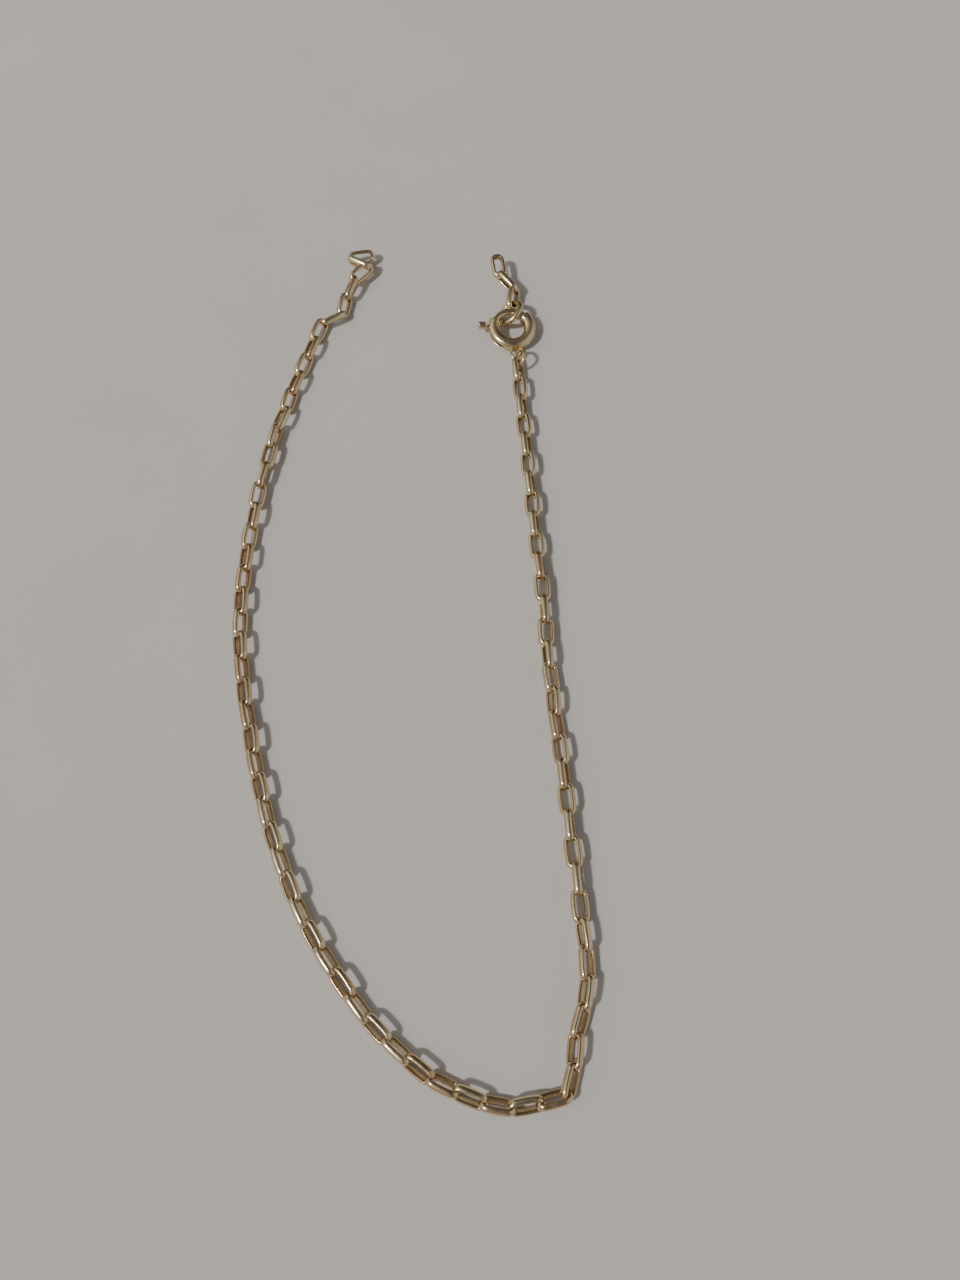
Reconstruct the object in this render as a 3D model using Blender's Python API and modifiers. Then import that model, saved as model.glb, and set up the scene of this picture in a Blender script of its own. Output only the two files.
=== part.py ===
"""Gold long belcher chain bracelet, unfastened and lying open, with a bolt ring clasp.

The links are ovals of D-section wire with its flat side inward. They interlock at right
angles, and most of them lean, each against the next, on both sides of the chain's line.
Lengths are metres, +Z is up, and the origin is in the middle of the surface that the
bracelet lies on.
"""

import random
from collections import namedtuple
from math import asin, atan2, copysign, cos, hypot, pi, radians, sin

import bmesh
import bpy
from mathutils import Matrix, Vector

MM = 0.001

# Links of the chain. Each is a little short, so that it presses into the next and a run is one
# solid.
PITCH = 2.4 * MM
LINK_LENGTH = 3.14 * MM
LINK_WIDTH = 1.62 * MM
LINK_END = 0.85 * MM
LINK_SIDES = 10
WIRE_DEPTH = 0.70 * MM
WIRE_THICKNESS = 0.42 * MM
WIRE_BEVEL = 0.2 * MM

# Hand-laid unevenness of the chain
JOINT_WANDER = 0.07 * MM
ROLL_WANDER = radians(4)
WANDER_SEED = 11

# Bolt ring
TUBE_PATH_RADIUS = 2.0 * MM
TUBE_RADIUS = 0.70 * MM
BORE_RADIUS = 0.58 * MM
BOLT_RADIUS = 0.43 * MM
MOUTH_ANGLE = radians(158)
SOCKET_ANGLE = radians(407)
BOLT_TIP_ANGLE = radians(42)
BOLT_TAIL_ANGLE = radians(196)
KNOB_ANGLE = radians(176)
SLOT_END_ANGLE = radians(250)
SLOT_HALF_WIDTH = 0.24 * MM
BORE_OVERRUN = radians(4)
NECK_RADIUS = 0.15 * MM
NECK_REACH = 2.92 * MM
NECK_SIDES = 8
KNOB_RADIUS = 0.42 * MM
KNOB_REACH = 3.75 * MM
KNOB_BEVEL = 0.1 * MM
KNOB_SIDES = 12
EYE_ANGLE = radians(279)
EYE_PATH_RADIUS = 0.60 * MM
EYE_WIRE_RADIUS = 0.15 * MM
EYE_REACH = 3.16 * MM

CLASP_CENTRE = Vector((10.8, 34.4, 1.12)) * MM
CLASP_TILT = radians(8)
CLASP_RAISED_SIDE = radians(112)

# Plain wire rings
JUMP_RING_PATH_RADIUS = 1.07 * MM
JUMP_RING_WIRE_RADIUS = 0.17 * MM
JUMP_RING_LEAN = radians(-32)
CATCH_RING_PATH_RADIUS = 1.4 * MM
CATCH_RING_WIRE_RADIUS = 0.31 * MM
CATCH_RING_CENTRE = Vector((-0.17, 2.03, -0.17)) * MM
CATCH_RING_TURN = radians(-14)
CATCH_RING_LEAN = radians(46)
CATCH_RING_PITCH = radians(-5)
STUB_SEAT = Vector((-0.19, 0.86, 0)) * MM

RING_STEPS = 16
WIRE_SIDES = 6
TUBE_STEP = radians(15)
TUBE_SIDES = 10
BOLT_SIDES = 8
MERGE_DISTANCE = 0.00001 * MM

# The chain's run from the clasp down the straight strand, and on round to its free end. A row
# holds where the centre line passes, in mm from the middle, and the roll there of the links
# with odd numbers, in degrees: 0 lies flat, 90 stands on its long side, 45 leans. Even ones
# are turned by a right angle. lift raises the line above the height at which the links rest.
Bend = namedtuple("Bend", "x y roll lift")
CLASP_SIDE_BENDS = (
    Bend(11.32, 30.165, 217, 0.08),
    Bend(11.8, 24.2, 212, 0.0),
    Bend(12.2, 19.0, 208, 0.0),
    Bend(12.8, 10.5, 203, 0.0),
    Bend(13.4, 3.2, 182, 0.0),
    Bend(14.0, -6.3, 155, 0.0),
    Bend(14.8, -13.5, 122, 0.0),
    Bend(15.36, -20.0, 110, 0.0),
)
CLASP_SIDE_LINKS = 21
FIRST_LINK_NUMBER = 2

# This run starts a little before the other's end, so that their links meet with some play.
FREE_SIDE_BENDS = (
    Bend(15.30, -19.3, 110, 0.0),
    Bend(15.8, -25.0, 102, 0.0),
    Bend(16.2, -30.0, 66, 0.0),
    Bend(16.6, -34.7, 54, 0.0),
    Bend(15.4, -39.4, 46, 0.0),
    Bend(14.7, -43.6, 46, 0.0),
    Bend(12.3, -44.35, 48, 0.0),
    Bend(9.4, -44.6, 50, 0.0),
    Bend(5.5, -43.6, 50, 0.0),
    Bend(1.3, -41.2, 52, 0.0),
    Bend(-3.8, -36.1, 54, 0.0),
    Bend(-8.0, -30.0, 55, 0.0),
    Bend(-11.2, -23.5, 55, 0.0),
    Bend(-14.1, -14.1, 55, 0.0),
    Bend(-16.1, -4.7, 55, 0.0),
    Bend(-16.6, 2.6, 52, 0.0),
    Bend(-16.1, 11.2, 38, 0.0),
    Bend(-15.1, 18.6, -8, 0.0),
    Bend(-13.9, 23.6, -36, 0.0),
    Bend(-12.9, 27.4, -45, 0.0),
    Bend(-12.0, 30.5, -45, 0.0),
    Bend(-11.2, 33.2, -45, 0.0),
)
FREE_SIDE_LINKS = 49

# Links that lie tumbled, a row each: which way the link runs, how it climbs and how it is
# rolled, in degrees. The free end carries on from the chain; the stub starts at the catch ring.
Tumbled = namedtuple("Tumbled", "heading climb roll")
FREE_END = (
    Tumbled(71, 0, 45),
    Tumbled(29, 1, 130),
    Tumbled(80, 2, 50),
    Tumbled(72, 6, 120),
    Tumbled(47, 3, 35),
    Tumbled(151, -3, 60),
    Tumbled(14, -5, 43),
)
STUB = (
    Tumbled(81, 3, 50),
    Tumbled(133, 9, 85),
    Tumbled(98, 3, 5),
)

GOLD = (0.56, 0.40, 0.14, 1.0)
GOLD_ROUGHNESS = 0.25
CLASP_GOLD = (0.58, 0.45, 0.18, 1.0)
CLASP_ROUGHNESS = 0.3
SHARP_EDGE_ANGLE = radians(50)


def clear_scene():
    """Removes every object that the start-up file brings."""
    for obj in list(bpy.data.objects):
        bpy.data.objects.remove(obj)


def new_collection(name):
    """Returns a new collection in the scene."""
    collection = bpy.data.collections.new(name)
    bpy.context.scene.collection.children.link(collection)
    return collection


def metal(name, colour, roughness):
    """Returns a metal material."""
    material = bpy.data.materials.new(name)
    material.use_nodes = True
    shader = material.node_tree.nodes["Principled BSDF"]
    shader.inputs["Base Color"].default_value = colour
    shader.inputs["Metallic"].default_value = 1.0
    shader.inputs["Roughness"].default_value = roughness
    return material


def add_object(name, mesh, material, collection):
    """Puts a mesh in the scene as a named, smooth-shaded object."""
    obj = bpy.data.objects.new(name, mesh)
    mesh.materials.clear()
    mesh.materials.append(material)
    mesh.shade_smooth()
    mesh.set_sharp_from_angle(angle=SHARP_EDGE_ANGLE)
    collection.objects.link(obj)
    return obj


def add_cutter(name, mesh, cutters):
    """Puts a mesh in the scene as a cutting body, which is hidden in renders."""
    obj = bpy.data.objects.new(name, mesh)
    obj.hide_render = True
    obj.display_type = "WIRE"
    cutters.objects.link(obj)
    return obj


def combine(obj, other, operation):
    """Adds a live Boolean with another object."""
    modifier = obj.modifiers.new(other.name, "BOOLEAN")
    modifier.operation = operation
    modifier.object = other
    modifier.solver = "EXACT"


def link_mesh():
    """Makes one link: a stretched circle raised into an open band, which then gets its thickness.

    The band's outer edges are bevelled, so its wire has six sides and a flat side inward.
    """
    bm = bmesh.new()
    bmesh.ops.create_circle(bm, segments=LINK_SIDES, radius=1.0)
    widest = max(vert.co.x for vert in bm.verts)
    for vert in bm.verts:
        across, along = vert.co.x / widest, vert.co.y
        straight = copysign(LINK_LENGTH / 2 - LINK_END, along)
        vert.co = (along * LINK_END + straight, across * LINK_WIDTH / 2, -WIRE_DEPTH / 2)
    raised = bmesh.ops.extrude_edge_only(bm, edges=bm.edges[:])["geom"]
    top = [part for part in raised if isinstance(part, bmesh.types.BMVert)]
    bmesh.ops.translate(bm, verts=top, vec=(0, 0, WIRE_DEPTH))
    bmesh.ops.recalc_face_normals(bm, faces=bm.faces[:])
    rim = [edge for edge in bm.edges if edge.is_boundary]
    bmesh.ops.solidify(bm, geom=bm.faces[:], thickness=WIRE_THICKNESS)
    bmesh.ops.bevel(bm, geom=rim, offset=WIRE_BEVEL, segments=1, profile=0.5, affect="EDGES")
    mesh = bpy.data.meshes.new("link")
    bm.to_mesh(mesh)
    bm.free()
    return mesh


def rest_height(roll):
    """Returns the height of the chain's middle where links with this roll lie on the surface.

    It leaves room below for a link that is turned a little further than its neighbours.
    """
    upright = max(abs(sin(roll)), abs(cos(roll)))
    flat = min(abs(sin(roll)), abs(cos(roll)))
    room = ROLL_WANDER * LINK_WIDTH / 2
    return LINK_WIDTH / 2 * upright + (WIRE_DEPTH / 2 - WIRE_BEVEL) * flat + room


def smooth_point(rows, index, part):
    """Returns a point of the Catmull-Rom curve between row index and the next one."""
    before = Vector(rows[max(index - 1, 0)])
    start = Vector(rows[index])
    end = Vector(rows[index + 1])
    after = Vector(rows[min(index + 2, len(rows) - 1)])
    cubic = (3 * start - before - 3 * end + after) * part**3
    square = (2 * before - 5 * start + 4 * end - after) * part**2
    return start + ((end - before) * part + square + cubic) / 2


def spaced_joints(bends, count):
    """Divides the smooth line through the bends into count equal steps.

    Returns a list of joints, each a position in metres and a roll in radians.
    """
    samples_per_bend = 60
    samples = [
        smooth_point(bends, index, step / samples_per_bend)
        for index in range(len(bends) - 1)
        for step in range(samples_per_bend)
    ]
    samples.append(Vector(bends[-1]))
    travelled = [0.0]
    for start, end in zip(samples, samples[1:]):
        travelled.append(travelled[-1] + hypot(end[0] - start[0], end[1] - start[1]))
    joints = []
    at = 0
    for number in range(count + 1):
        goal = travelled[-1] * number / count
        while at < len(travelled) - 2 and travelled[at + 1] < goal:
            at += 1
        part = (goal - travelled[at]) / (travelled[at + 1] - travelled[at])
        x, y, roll, lift = samples[at].lerp(samples[at + 1], part)
        roll = radians(roll)
        joints.append((Vector((x * MM, y * MM, rest_height(roll) + lift * MM)), roll))
    return joints


def link_matrix(start, end, roll):
    """Returns the placing of a link that runs from start to end and is rolled about that line."""
    run = end - start
    heading = atan2(run.y, run.x)
    climb = asin(run.z / run.length)
    turn = Matrix.Rotation(heading, 4, "Z") @ Matrix.Rotation(-climb, 4, "Y")
    return Matrix.Translation((start + end) / 2) @ turn @ Matrix.Rotation(roll, 4, "X")


def laid_links(bends, count, first_number, wander):
    """Places the links of one run. Returns their matrices and the run's last joint."""
    joints = spaced_joints(bends, count)
    for index in range(1, count):
        position, roll = joints[index]
        across = (joints[index + 1][0] - joints[index - 1][0]).cross(Vector((0, 0, 1))).normalized()
        joints[index] = (position + across * wander.uniform(-JOINT_WANDER, JOINT_WANDER), roll)
    matrices = []
    for index in range(count):
        (start, start_roll), (end, end_roll) = joints[index], joints[index + 1]
        roll = (start_roll + end_roll) / 2
        if 0 < index < count - 1:
            roll += wander.uniform(-ROLL_WANDER, ROLL_WANDER)
        if (first_number + index) % 2 == 0:
            roll += pi / 2
        matrices.append(link_matrix(start, end, roll))
    return matrices, joints[-1][0]


def tumbled_links(rows, start):
    """Places links end to end from a table of directions."""
    matrices = []
    for row in rows:
        heading, climb = radians(row.heading), radians(row.climb)
        run = Vector((cos(heading) * cos(climb), sin(heading) * cos(climb), sin(climb))) * PITCH
        matrices.append(link_matrix(start, start + run, radians(row.roll)))
        start = start + run
    return matrices


def add_chain(name, matrices, material, collection, cutters):
    """Joins every second link into the object and fuses the links between them to it."""
    link = link_mesh()
    halves = []
    for first in (0, 1):
        bm = bmesh.new()
        for matrix in matrices[first::2]:
            copy = link.copy()
            copy.transform(matrix)
            bm.from_mesh(copy)
            bpy.data.meshes.remove(copy)
        mesh = bpy.data.meshes.new(f"{name}_half")
        bm.to_mesh(mesh)
        bm.free()
        halves.append(mesh)
    chain = add_object(name, halves[0], material, collection)
    between = add_cutter(f"{name}_links_between", halves[1], cutters)
    combine(chain, between, "UNION")
    return chain


def arc_points(radius, start, end):
    """Returns points along an arc about the Z axis, in even steps of about TUBE_STEP."""
    steps = round(abs(end - start) / TUBE_STEP)
    angles = [start + (end - start) * step / steps for step in range(steps + 1)]
    return [Vector((cos(angle), sin(angle), 0)) * radius for angle in angles]


def tube_mesh(name, points, radius, sides):
    """Makes a round bar along points, with welded caps, from a curve with a round bevel.

    A round bevel has four sides and two more for each step of its resolution.
    """
    curve = bpy.data.curves.new(name, "CURVE")
    curve.dimensions = "3D"
    curve.bevel_depth = radius
    curve.bevel_resolution = (sides - 4) // 2
    curve.use_fill_caps = True
    spline = curve.splines.new("POLY")
    spline.points.add(len(points) - 1)
    for spline_point, point in zip(spline.points, points):
        spline_point.co = (*point, 1)
    holder = bpy.data.objects.new(name, curve)
    mesh = bpy.data.meshes.new_from_object(holder)
    bpy.data.objects.remove(holder)
    bm = bmesh.new()
    bm.from_mesh(mesh)
    bmesh.ops.remove_doubles(bm, verts=bm.verts[:], dist=MERGE_DISTANCE)
    bm.to_mesh(mesh)
    bm.free()
    return mesh


def ring_mesh(path_radius, wire_radius):
    """Makes a closed wire ring about the Z axis."""
    bpy.ops.mesh.primitive_torus_add(
        major_radius=path_radius,
        minor_radius=wire_radius,
        major_segments=RING_STEPS,
        minor_segments=WIRE_SIDES,
    )
    obj = bpy.context.object
    mesh = obj.data
    bpy.data.objects.remove(obj)
    return mesh


def cylinder_mesh(name, radius, start, end, sides):
    """Makes a cylinder along +X from start to end."""
    bm = bmesh.new()
    middle = Matrix.Translation(((start + end) / 2, 0, 0)) @ Matrix.Rotation(pi / 2, 4, "Y")
    bmesh.ops.create_cone(
        bm, cap_ends=True, segments=sides, radius1=radius, radius2=radius, depth=end - start, matrix=middle
    )
    mesh = bpy.data.meshes.new(name)
    bm.to_mesh(mesh)
    bm.free()
    return mesh


def clasp_matrix():
    """Returns the placing of the bolt ring: tilted, so that one side is raised."""
    axis = Vector((sin(CLASP_RAISED_SIDE), -cos(CLASP_RAISED_SIDE), 0))
    return Matrix.Translation(CLASP_CENTRE) @ Matrix.Rotation(CLASP_TILT, 4, axis)


def add_bolt_ring(material, collection, cutters):
    """Makes the clasp's open tube with its bore, the slot for the knob and the eye."""
    place = clasp_matrix()
    tube_arc = arc_points(TUBE_PATH_RADIUS, MOUTH_ANGLE, SOCKET_ANGLE)
    outside = tube_mesh("tube", tube_arc, TUBE_RADIUS, TUBE_SIDES)
    tube = add_object("bolt_ring", outside, material, collection)
    tube.matrix_world = place
    eye = add_cutter("eye_ring", ring_mesh(EYE_PATH_RADIUS, EYE_WIRE_RADIUS), cutters)
    eye.matrix_world = place @ Matrix.Rotation(EYE_ANGLE, 4, "Z") @ Matrix.Translation((EYE_REACH, 0, 0))
    combine(tube, eye, "UNION")
    bore_arc = arc_points(TUBE_PATH_RADIUS, MOUTH_ANGLE - BORE_OVERRUN, SOCKET_ANGLE + BORE_OVERRUN)
    bore = add_cutter("bore", tube_mesh("bore", bore_arc, BORE_RADIUS, TUBE_SIDES), cutters)
    bore.matrix_world = place
    combine(tube, bore, "DIFFERENCE")
    slot_start = KNOB_ANGLE - asin(SLOT_HALF_WIDTH / TUBE_PATH_RADIUS)
    slot_arc = arc_points(TUBE_PATH_RADIUS + TUBE_RADIUS, slot_start, SLOT_END_ANGLE)
    slot = add_cutter("slot", tube_mesh("slot", slot_arc, SLOT_HALF_WIDTH, TUBE_SIDES), cutters)
    slot.matrix_world = place
    combine(tube, slot, "DIFFERENCE")
    return tube


def add_bolt(material, collection, cutters):
    """Makes the sliding bolt with its neck and knob; its origin is on the ring's own axis."""
    place = clasp_matrix()
    arc = arc_points(TUBE_PATH_RADIUS, BOLT_TIP_ANGLE, BOLT_TAIL_ANGLE)
    bolt = add_object("bolt", tube_mesh("bolt", arc, BOLT_RADIUS, BOLT_SIDES), material, collection)
    bolt.matrix_world = place
    outward = place @ Matrix.Rotation(KNOB_ANGLE, 4, "Z")
    neck_start = TUBE_PATH_RADIUS + BOLT_RADIUS / 2
    neck_mesh = cylinder_mesh("neck", NECK_RADIUS, neck_start, NECK_REACH, NECK_SIDES)
    neck = add_cutter("neck", neck_mesh, cutters)
    neck.matrix_world = outward
    combine(bolt, neck, "UNION")
    knob_start = NECK_REACH - KNOB_BEVEL
    knob_mesh = cylinder_mesh("knob", KNOB_RADIUS, knob_start, KNOB_REACH, KNOB_SIDES)
    knob = add_cutter("knob", knob_mesh, cutters)
    rounding = knob.modifiers.new("rounding", "BEVEL")
    rounding.width = KNOB_BEVEL
    rounding.segments = 1
    knob.matrix_world = outward
    combine(bolt, knob, "UNION")
    return bolt


def catch_ring_matrix():
    """Returns the placing of the catch ring, threaded on the bolt and leaning across it."""
    turn = Matrix.Rotation(CATCH_RING_TURN, 4, "Z")
    lean = Matrix.Rotation(-CATCH_RING_LEAN, 4, "Y") @ Matrix.Rotation(CATCH_RING_PITCH, 4, "X")
    return clasp_matrix() @ Matrix.Translation(CATCH_RING_CENTRE) @ turn @ lean


def jump_ring_matrix():
    """Returns the placing of the jump ring: on the surface, leaning, and passing through the eye."""
    eye = clasp_matrix() @ (Vector((cos(EYE_ANGLE), sin(EYE_ANGLE), 0)) * EYE_REACH)
    height = JUMP_RING_PATH_RADIUS * cos(JUMP_RING_LEAN) + JUMP_RING_WIRE_RADIUS
    drop = (height - eye.z) / cos(JUMP_RING_LEAN)
    back = (JUMP_RING_PATH_RADIUS**2 - drop**2) ** 0.5
    centre = Vector((eye.x - drop * sin(JUMP_RING_LEAN), eye.y - back, height))
    return Matrix.Translation(centre) @ Matrix.Rotation(pi / 2 - JUMP_RING_LEAN, 4, "Y")


def stub_start():
    """Returns where the stub's first link starts inside the catch ring."""
    return catch_ring_matrix() @ STUB_SEAT


def main():
    """Builds the bracelet."""
    clear_scene()
    parts = new_collection("chain_bracelet")
    cutters = new_collection("cutters")
    chain_gold = metal("chain_gold", GOLD, GOLD_ROUGHNESS)
    clasp_gold = metal("clasp_gold", CLASP_GOLD, CLASP_ROUGHNESS)

    wander = random.Random(WANDER_SEED)
    clasp_side, corner = laid_links(CLASP_SIDE_BENDS, CLASP_SIDE_LINKS, FIRST_LINK_NUMBER, wander)
    add_chain("chain_clasp_side", clasp_side, chain_gold, parts, cutters)
    first_free = FIRST_LINK_NUMBER + CLASP_SIDE_LINKS
    free_side, last_joint = laid_links(FREE_SIDE_BENDS, FREE_SIDE_LINKS, first_free, wander)
    free_side += tumbled_links(FREE_END, last_joint)
    add_chain("chain_free_side", free_side, chain_gold, parts, cutters)

    add_bolt_ring(clasp_gold, parts, cutters)
    add_bolt(clasp_gold, parts, cutters)
    jump_ring = add_object(
        "jump_ring", ring_mesh(JUMP_RING_PATH_RADIUS, JUMP_RING_WIRE_RADIUS), clasp_gold, parts
    )
    jump_ring.matrix_world = jump_ring_matrix()
    catch_ring = add_object(
        "catch_ring", ring_mesh(CATCH_RING_PATH_RADIUS, CATCH_RING_WIRE_RADIUS), clasp_gold, parts
    )
    catch_ring.matrix_world = catch_ring_matrix()
    add_chain("stub_links", tumbled_links(STUB, stub_start()), chain_gold, parts, cutters)


main()
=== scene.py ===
"""Belcher chain bracelet in worn yellow gold: its links, clasp and rings, their finish, and the studio."""

import logging
import random
from collections.abc import Sequence
from dataclasses import dataclass, field
from enum import Enum
from math import asin, atan2, ceil, cos, degrees, hypot, pi, radians, sin
from typing import NamedTuple

import bmesh
import bpy
from mathutils import Matrix, Vector


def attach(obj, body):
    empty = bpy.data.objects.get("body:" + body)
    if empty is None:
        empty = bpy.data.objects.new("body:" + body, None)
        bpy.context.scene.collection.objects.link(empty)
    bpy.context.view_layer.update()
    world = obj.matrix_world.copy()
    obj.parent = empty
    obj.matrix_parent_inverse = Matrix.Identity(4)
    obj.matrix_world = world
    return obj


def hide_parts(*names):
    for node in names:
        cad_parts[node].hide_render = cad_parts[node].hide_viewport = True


MM = 0.001

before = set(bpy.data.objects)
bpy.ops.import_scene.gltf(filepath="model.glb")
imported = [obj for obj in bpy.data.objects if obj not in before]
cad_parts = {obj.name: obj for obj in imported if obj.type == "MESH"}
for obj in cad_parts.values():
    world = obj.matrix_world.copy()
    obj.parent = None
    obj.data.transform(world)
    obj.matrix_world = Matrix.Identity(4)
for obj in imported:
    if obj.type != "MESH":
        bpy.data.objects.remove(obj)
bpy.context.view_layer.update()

log = logging.getLogger("bracelet")

# A domed or turned end closes on a circle with this radius, in mm
CLOSED_END = 0.001
# Points of one seam that are nearer than this are merged, in mm
SEAM_GAP = 0.0005


class GoldTone(Enum):
    """The bare metal's colour, as sRGB hex."""

    CHAIN = "#E4D0A8"
    CLASP = "#E4CFA3"


class Slot(Enum):
    """The record's material slots."""

    CHAIN = "chain_gold"
    CLASP = "clasp_gold"


class Body(Enum):
    """The moving bodies of the bracelet."""

    BRACELET = "bracelet"
    BOLT = "bolt"


class Bend(NamedTuple):
    """One row of a chain's run, in mm and degrees: where it passes, how odd links are rolled, any lift."""

    x: float
    y: float
    roll: float
    lift: float


class Tumbled(NamedTuple):
    """One tumbled link, in degrees: which way it runs, how it climbs and how it is rolled."""

    heading: float
    climb: float
    roll: float


class Fitting(NamedTuple):
    """One part of a clasp piece: its mesh in mm, its placing in mm, and its share of brown film and
    painted shade.
    """

    mesh: bpy.types.Mesh
    place: Matrix
    film_and_shade: float


def linear_colour(hex_colour: str) -> tuple[float, float, float, float]:
    """Turns an sRGB hex colour to linear values.

    Args:
        hex_colour: The colour as "#RRGGBB".

    Returns:
        Linear red, green, blue and an alpha of one.
    """
    channels = [int(hex_colour[start : start + 2], 16) / 255 for start in (1, 3, 5)]
    red, green, blue = (c / 12.92 if c <= 0.04045 else ((c + 0.055) / 1.055) ** 2.4 for c in channels)
    return red, green, blue, 1.0


def add_node(
    tree: bpy.types.NodeTree,
    kind: str,
    settings: dict[str, object] | None = None,
    inputs: dict[str | int, object] | None = None,
) -> bpy.types.Node:
    """Adds one node with its settings and its values or links.

    Args:
        tree: The node tree that gets the node.
        kind: The node's type name.
        settings: Attribute values, by name.
        inputs: Values or output sockets, by the input's name or number.

    Returns:
        The new node.
    """
    node = tree.nodes.new(kind)
    for name, value in (settings or {}).items():
        setattr(node, name, value)
    for name, value in (inputs or {}).items():
        if isinstance(value, bpy.types.NodeSocket):
            tree.links.new(value, node.inputs[name])
        else:
            node.inputs[name].default_value = value
    return node


@dataclass(frozen=True)
class WornPolishedGold:
    """Yellow gold alloy, drawn to wire and tube, polished, and dulled by wear."""

    # Polish gives the sharp highlights, and wear dulls them in patches and with hairlines. A brown film,
    # partly skin oil where a cloth doesn't reach and partly painted shade, darkens the inside of links and
    # rings.

    name: str
    tone: GoldTone
    second_tone: str = "#DABA92"
    # The film's brown is tarnish and painted shade in the hollows of links and rings
    film_and_shade: str = "#7A5E3E"
    film_and_shade_strength: float = 0.85
    thinnest_film_and_shade: float = 0.45
    film_and_shade_patches: tuple[float, float] = (0.35, 0.7)
    polished: float = 0.16
    worn: float = 0.34
    worn_patches: tuple[float, float] = (0.3, 0.75)
    patch_mm: float = 0.9
    patch_detail: float = 3.0
    patch_roughness: float = 0.6
    # A real hairline is about 0.01 mm wide, too fine to show, so it is drawn nine times as wide
    hairline_mm: float = 0.09
    hairline_detail: float = 2.0
    hairline_turn: tuple[float, float, float] = (0.5, 0.3, 0.9)
    hairline_stretch: float = 5.0
    hairline_depth_mm: float = 0.004
    hairline_strength: float = 0.35

    def build(self) -> bpy.types.Material:
        """Makes the material.

        Returns:
            The gold's material, which reads the mesh attribute of film and painted shade and the attribute
            "link_tone".
        """
        material = bpy.data.materials.new(self.name)
        material.use_nodes = True
        tree = material.node_tree
        shader = tree.nodes["Principled BSDF"]
        shader.inputs["Metallic"].default_value = 1.0
        place = add_node(tree, "ShaderNodeTexCoord").outputs["Object"]
        patches = add_node(
            tree,
            "ShaderNodeTexNoise",
            inputs={
                "Vector": place,
                "Scale": 1 / (self.patch_mm * MM),
                "Detail": self.patch_detail,
                "Roughness": self.patch_roughness,
            },
        ).outputs["Fac"]
        wear = add_node(
            tree,
            "ShaderNodeMapRange",
            inputs={
                "Value": patches,
                "From Min": self.worn_patches[0],
                "From Max": self.worn_patches[1],
                "To Min": self.polished,
                "To Max": self.worn,
            },
        ).outputs["Result"]
        tree.links.new(self.colour(tree, patches), shader.inputs["Base Color"])
        tree.links.new(wear, shader.inputs["Roughness"])
        tree.links.new(self.hairlines(tree, place), shader.inputs["Normal"])
        return material

    def colour(self, tree: bpy.types.NodeTree, patches: bpy.types.NodeSocket) -> bpy.types.NodeSocket:
        """Mixes the two tones of gold, then lays over them the brown film, which is also painted shade.

        Args:
            tree: The material's node tree.
            patches: The noise that wear and film follow.

        Returns:
            The surface's colour.
        """
        tone_here = add_node(tree, "ShaderNodeAttribute", {"attribute_name": "link_tone"}).outputs["Fac"]
        metal = add_node(
            tree,
            "ShaderNodeMix",
            {"data_type": "RGBA"},
            {0: tone_here, 6: linear_colour(self.tone.value), 7: linear_colour(self.second_tone)},
        ).outputs[2]
        # Film and painted shade, read from the mesh, darkest inside links and near their ends
        film_and_shade_here = add_node(tree, "ShaderNodeAttribute", {"attribute_name": "film_and_shade"}).outputs["Fac"]
        film_and_shade_patch = add_node(
            tree,
            "ShaderNodeMapRange",
            inputs={
                "Value": patches,
                "From Min": self.film_and_shade_patches[0],
                "From Max": self.film_and_shade_patches[1],
                "To Min": self.thinnest_film_and_shade,
            },
        ).outputs["Result"]
        film_and_shade_amount = add_node(
            tree, "ShaderNodeMath", {"operation": "MULTIPLY"}, {0: film_and_shade_here, 1: film_and_shade_patch}
        ).outputs["Value"]
        film_and_shade_share = add_node(
            tree, "ShaderNodeMath", {"operation": "MULTIPLY"}, {0: film_and_shade_amount, 1: self.film_and_shade_strength}
        ).outputs["Value"]
        return add_node(
            tree,
            "ShaderNodeMix",
            {"data_type": "RGBA"},
            {0: film_and_shade_share, 6: metal, 7: linear_colour(self.film_and_shade)},
        ).outputs[2]

    def hairlines(self, tree: bpy.types.NodeTree, place: bpy.types.NodeSocket) -> bpy.types.NodeSocket:
        """Scratches the surface with hairlines that run mostly one way.

        Args:
            tree: The material's node tree.
            place: The position on the piece.

        Returns:
            The scratched surface's normal.
        """
        stretched = add_node(
            tree,
            "ShaderNodeMapping",
            inputs={
                "Vector": place,
                "Rotation": self.hairline_turn,
                "Scale": (1.0, 1 / self.hairline_stretch, 1.0),
            },
        ).outputs["Vector"]
        lines = add_node(
            tree,
            "ShaderNodeTexNoise",
            inputs={
                "Vector": stretched,
                "Scale": 1 / (self.hairline_mm * MM),
                "Detail": self.hairline_detail,
            },
        ).outputs["Fac"]
        return add_node(
            tree,
            "ShaderNodeBump",
            inputs={
                "Height": lines,
                "Strength": self.hairline_strength,
                "Distance": self.hairline_depth_mm * MM,
            },
        ).outputs["Normal"]


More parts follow.
